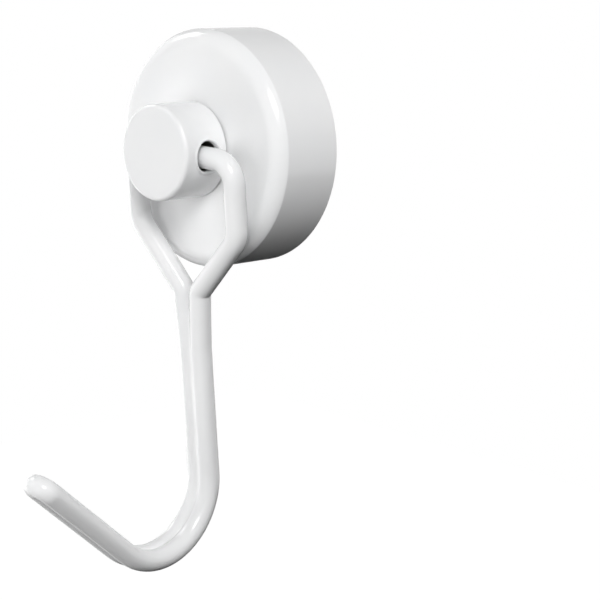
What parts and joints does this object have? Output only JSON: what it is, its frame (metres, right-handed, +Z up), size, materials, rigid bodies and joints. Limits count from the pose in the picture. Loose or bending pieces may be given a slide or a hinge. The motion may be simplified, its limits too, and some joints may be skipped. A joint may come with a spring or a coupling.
{
  "type": "magnetic hook",
  "caption": "White magnetic hook: a round cup magnet grips flat steel, its boss swivels, and a bent-wire hook swings up and down from it to hang light things.",
  "frame": {"origin": "centre of the open magnetic face of the cup, in the plane of the steel that it sticks to", "axes": "+Y into the steel, -Y to the front, +Z up as the hook hangs on a wall, X along the cross hole of the boss"},
  "size_m": [0.032, 0.0391, 0.0731],
  "materials": {
    "white_coat": "glossy white powder coat with a faint orange peel",
    "zinc_plated_steel": "bright bare or zinc-plated steel",
    "ferrite": "ground dark grey ferrite",
    "spacer_plastic": "moulded off-white plastic",
    "epoxy": "cured amber epoxy"
  },
  "bodies": {
    "base": {"magnet_cup": "white_coat", "boss_washer": "zinc_plated_steel", "ring_magnet": "ferrite", "spacer_ring": "spacer_plastic", "glue_bed": "epoxy"},
    "boss": {"hook_boss": "white_coat"},
    "hook": {"wire_hook": "white_coat"}
  },
  "joints": [
    {"name": "boss_swivel", "type": "hinge", "parent": "base", "child": "boss", "pos_m": [0, 0, 0], "axis": [0, 1, 0], "continuous": true},
    {"name": "hook_swing", "type": "hinge", "parent": "boss", "child": "hook", "pos_m": [0.0013, -0.0142, -0.0002], "axis": [-1, 0, 0], "range_deg": [0, 164]}
  ]
}
